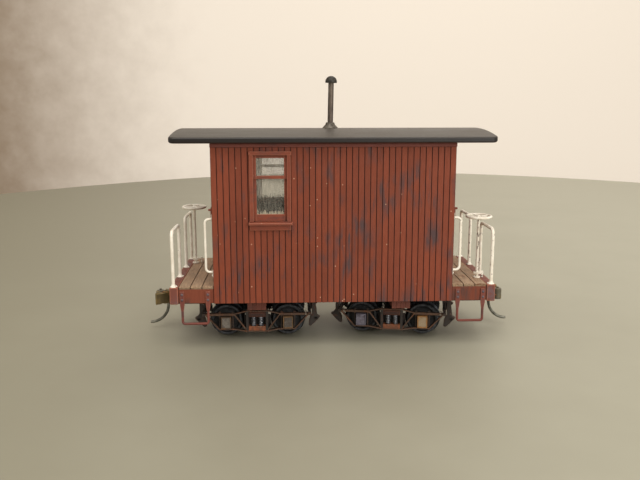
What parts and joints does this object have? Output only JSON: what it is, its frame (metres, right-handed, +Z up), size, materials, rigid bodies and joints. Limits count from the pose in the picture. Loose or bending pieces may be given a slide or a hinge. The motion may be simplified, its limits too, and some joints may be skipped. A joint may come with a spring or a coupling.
{
  "type": "scale model caboose",
  "caption": "Small 1:48 model of a narrow gauge wood sided caboose with arched roof, stove pipe, open end platforms, swivelling arch bar trucks, rolling wheels and swinging couplers.",
  "frame": {"origin": "middle of the car on the level that its wheel flanges stand on", "axes": "+X along the car to its right hand end in the side view, +Y to the far side, +Z up"},
  "size_m": [0.1154, 0.0474, 0.0794],
  "materials": {
    "oxide_siding": "matt painted, weathered",
    "oxide_trim": "matt painted",
    "dark_wood": "stained",
    "deck_wood": "bare weathered wood",
    "roof_black": "satin black",
    "clear_glass": "dusty",
    "white_paint": "chipped white paint",
    "stove_metal": "dark grey, weathered",
    "truck_black": "weathered black",
    "rust": "rusty",
    "spring_steel": "dull steel",
    "wheel_black": "blackened metal",
    "axle_steel": "dull steel",
    "coupler_bronze": "weathered olive brown",
    "pin_steel": "dark wire"
  },
  "bodies": {
    "car": {"near_side_wall": "oxide_siding", "far_side_wall": "oxide_siding", "left_end_wall": "oxide_siding", "right_end_wall": "oxide_siding", "cabin_floor": "dark_wood", "roof": "roof_black", "eave_fascia": "oxide_trim", "window_casings": "oxide_trim", "window_sashes": "oxide_trim", "window_panes": "clear_glass", "left_door": "oxide_trim", "right_door": "oxide_trim", "door_panes": "clear_glass", "door_casings": "oxide_trim", "door_handles": "oxide_trim", "left_deck": "deck_wood", "right_deck": "deck_wood", "end_beams": "oxide_trim", "platform_sills": "oxide_trim", "centre_sills": "dark_wood", "near_steps": "oxide_trim", "far_steps": "oxide_trim", "left_near_railing": "white_paint", "left_far_railing": "white_paint", "right_near_railing": "white_paint", "right_far_railing": "white_paint", "grab_irons": "white_paint", "lamp_brackets": "oxide_trim", "brake_staffs": "white_paint", "brake_wheels": "white_paint", "stove_pipe": "stove_metal", "stove_pipe_cap": "stove_metal", "body_bolsters": "oxide_trim", "pivot_screws": "axle_steel", "coupler_pockets": "coupler_bronze"},
    "left_truck": {"left_truck_side_frames": "truck_black", "left_truck_bolster": "truck_black", "left_truck_spring_planks": "rust", "left_truck_springs": "spring_steel", "left_truck_brakes": "truck_black"},
    "right_truck": {"right_truck_side_frames": "truck_black", "right_truck_bolster": "truck_black", "right_truck_spring_planks": "rust", "right_truck_springs": "spring_steel", "right_truck_brakes": "truck_black"},
    "left_outer_wheelset": {"left_outer_wheels": "wheel_black", "left_outer_axle": "axle_steel"},
    "left_inner_wheelset": {"left_inner_wheels": "wheel_black", "left_inner_axle": "axle_steel"},
    "right_inner_wheelset": {"right_inner_wheels": "wheel_black", "right_inner_axle": "axle_steel"},
    "right_outer_wheelset": {"right_outer_wheels": "wheel_black", "right_outer_axle": "axle_steel"},
    "left_coupler": {"left_coupler_head": "coupler_bronze", "left_coupler_knuckle": "coupler_bronze", "left_trip_pin": "pin_steel"},
    "right_coupler": {"right_coupler_head": "coupler_bronze", "right_coupler_knuckle": "coupler_bronze", "right_trip_pin": "pin_steel"}
  },
  "joints": [
    {"name": "left_truck_swivel", "type": "hinge", "parent": "car", "child": "left_truck", "pos_m": [-0.0229, 0, 0.008], "axis": [0, 0, 1], "range_deg": [-12, 12]},
    {"name": "left_outer_roll", "type": "hinge", "parent": "left_truck", "child": "left_outer_wheelset", "pos_m": [-0.0323, 0, 0.00544], "axis": [0, 1, 0], "continuous": true},
    {"name": "left_inner_roll", "type": "hinge", "parent": "left_truck", "child": "left_inner_wheelset", "pos_m": [-0.0135, 0, 0.00544], "axis": [0, 1, 0], "continuous": true},
    {"name": "left_coupler_swing", "type": "hinge", "parent": "car", "child": "left_coupler", "pos_m": [-0.042, 0, 0.01056], "axis": [0, 0, 1], "range_deg": [-8, 8], "stiffness_Nm_per_rad": 0.0005},
    {"name": "right_truck_swivel", "type": "hinge", "parent": "car", "child": "right_truck", "pos_m": [0.0208, 0, 0.008], "axis": [0, 0, 1], "range_deg": [-1, 23]},
    {"name": "right_outer_roll", "type": "hinge", "parent": "right_truck", "child": "right_outer_wheelset", "pos_m": [0.03003, -0.00179, 0.00544], "axis": [0.1908, 0.9816, 0], "continuous": true},
    {"name": "right_inner_roll", "type": "hinge", "parent": "right_truck", "child": "right_inner_wheelset", "pos_m": [0.01157, 0.00179, 0.00544], "axis": [0.1908, 0.9816, 0], "continuous": true},
    {"name": "right_coupler_swing", "type": "hinge", "parent": "car", "child": "right_coupler", "pos_m": [0.042, 0, 0.01056], "axis": [0, 0, 1], "range_deg": [-8, 8], "stiffness_Nm_per_rad": 0.0005}
  ]
}
